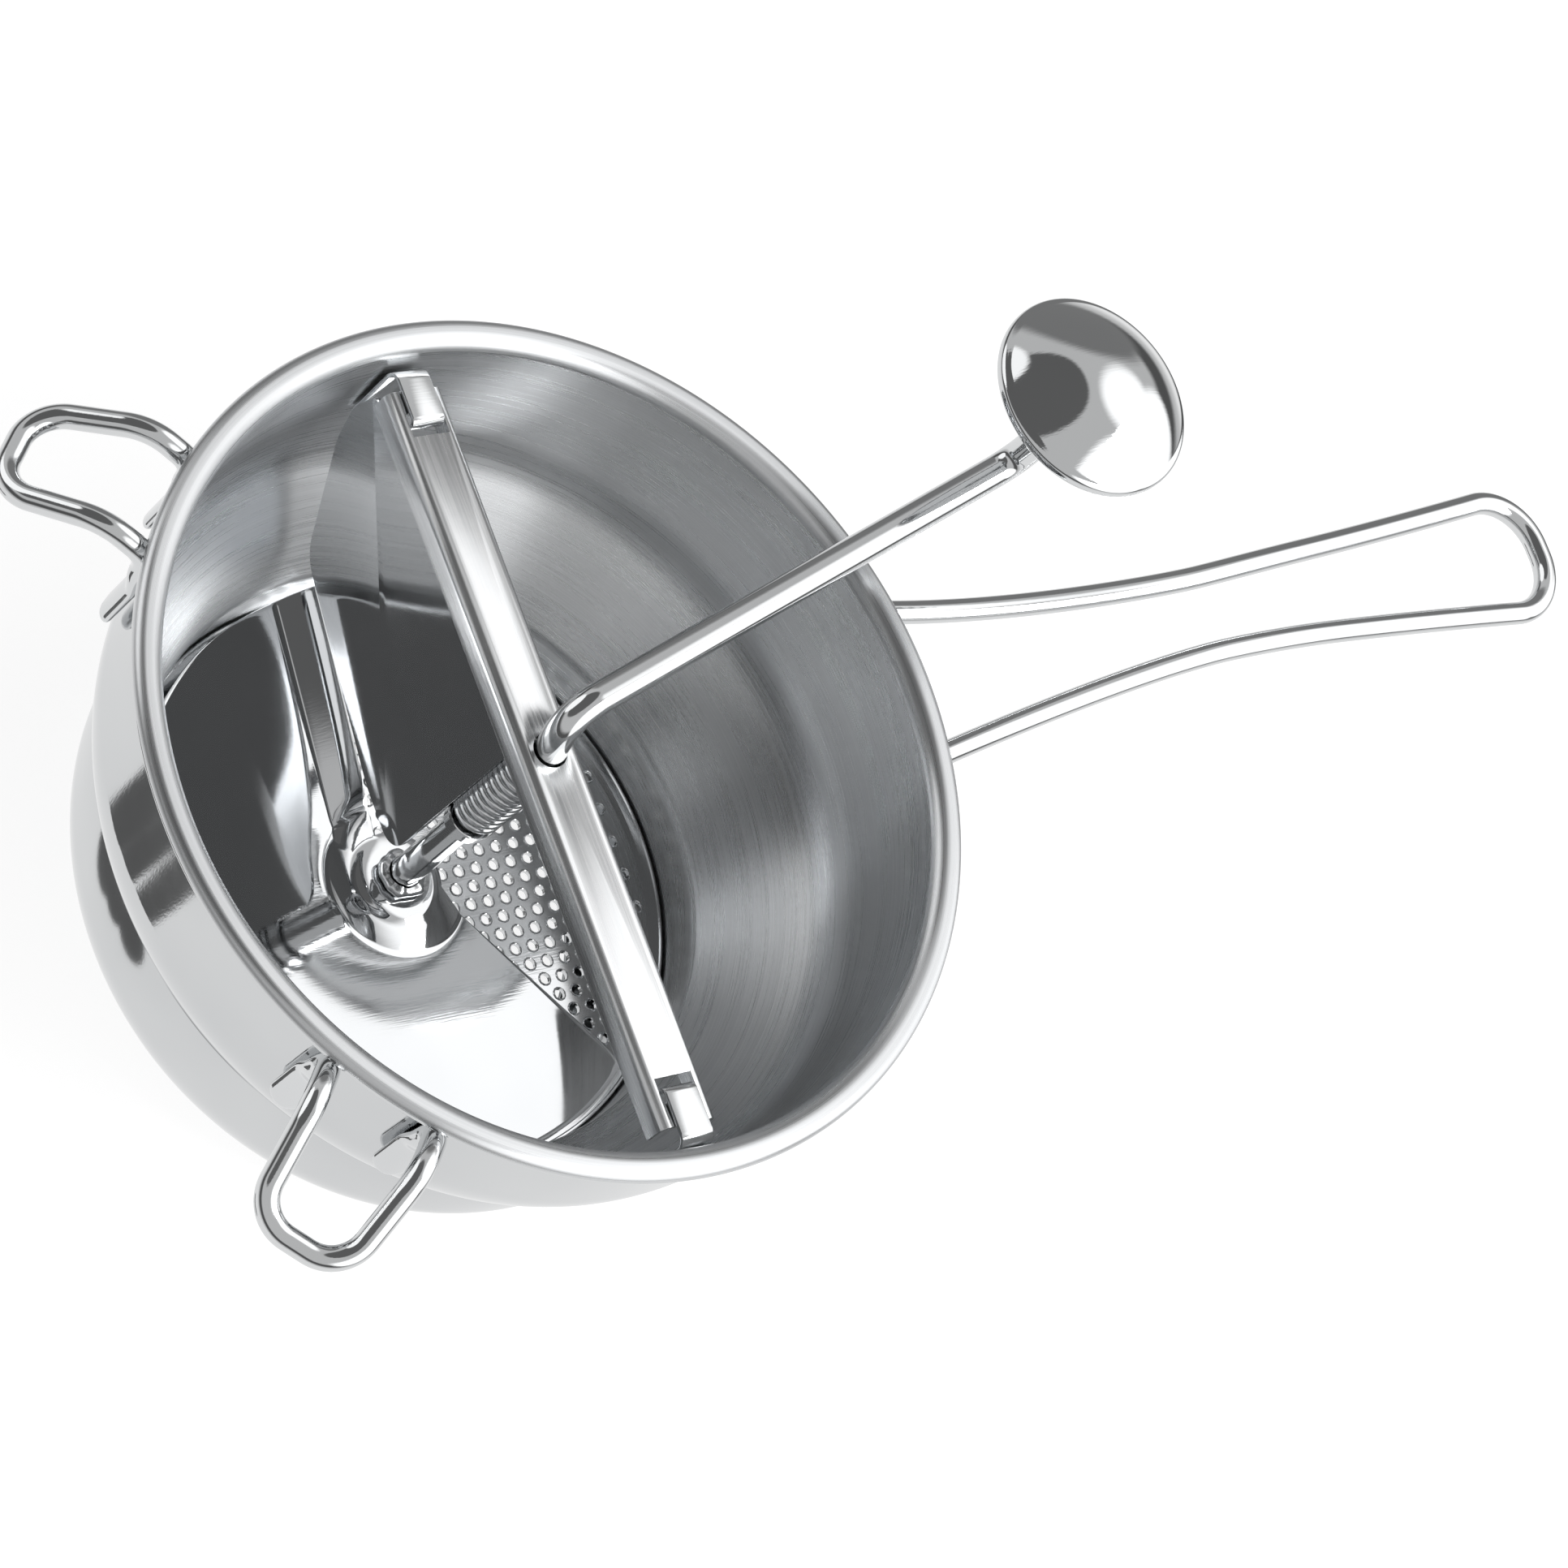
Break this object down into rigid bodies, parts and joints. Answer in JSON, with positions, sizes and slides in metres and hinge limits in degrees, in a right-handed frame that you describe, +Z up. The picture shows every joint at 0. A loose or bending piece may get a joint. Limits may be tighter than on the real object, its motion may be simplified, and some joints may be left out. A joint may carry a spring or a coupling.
{
  "type": "rotary food mill",
  "caption": "Steel bowl on a skirt with a perforated disc, a sloping blade on a bent crank with a domed knob, a sprung crossbar with baffle, a wire handle and pot hooks.",
  "frame": {"origin": "on the plane the skirt stands on, at the centre of the whole object's bounding box in X and Y", "axes": "+Z up along the bowl's axis, +X along the long handle away from the bowl, Y along the crossbar"},
  "size_m": [0.4255, 0.2194, 0.1824],
  "materials": {
    "brushed_steel": "circumferentially brushed stainless steel",
    "polished_steel": "mirror polished stainless steel",
    "spring_steel": "bright drawn spring wire"
  },
  "bodies": {
    "bowl": {"bowl": "brushed_steel", "handle_pad_a": "polished_steel", "handle_pad_b": "polished_steel", "hook_left": "polished_steel", "hook_left_pad_a": "polished_steel", "hook_left_pad_b": "polished_steel", "hook_right": "polished_steel", "hook_right_pad_a": "polished_steel", "hook_right_pad_b": "polished_steel", "long_handle": "polished_steel", "lower_skirt": "polished_steel", "lug_strap_far": "polished_steel", "lug_strap_near": "polished_steel", "perforated_disc": "polished_steel", "spring": "spring_steel"},
    "crank": {"blade": "polished_steel", "blade_weld": "polished_steel", "crank_rod": "polished_steel", "knob_retainer": "brushed_steel", "stop_collar": "polished_steel"},
    "knob": {"knob_base": "polished_steel", "knob_bush": "brushed_steel", "knob_cap": "polished_steel"},
    "crossbar": {"crossbar": "brushed_steel", "spring_washer_upper": "polished_steel"},
    "lift_ring": {"spring_washer_lower": "polished_steel"}
  },
  "joints": [
    {"name": "crossbar_press", "type": "slide", "parent": "bowl", "child": "crossbar", "axis": [0, 0, 1], "range_m": [-0.0025, 0], "stiffness_N_per_m": 2500, "springref_m": 0.004, "deforming": ["spring"]},
    {"name": "blade_lift", "type": "slide", "parent": "bowl", "child": "lift_ring", "axis": [0, 0, 1], "range_m": [0, 0.0025], "stiffness_N_per_m": 2500, "springref_m": -0.004, "deforming": ["spring"]},
    {"name": "crank_turn", "type": "hinge", "parent": "lift_ring", "child": "crank", "pos_m": [-0.10255, 0, 0.097], "axis": [0, 0, 1], "continuous": true},
    {"name": "knob_spin", "type": "hinge", "parent": "crank", "child": "knob", "pos_m": [0.03121, 0.03962, 0.1709], "axis": [0, 0, 1], "continuous": true}
  ]
}
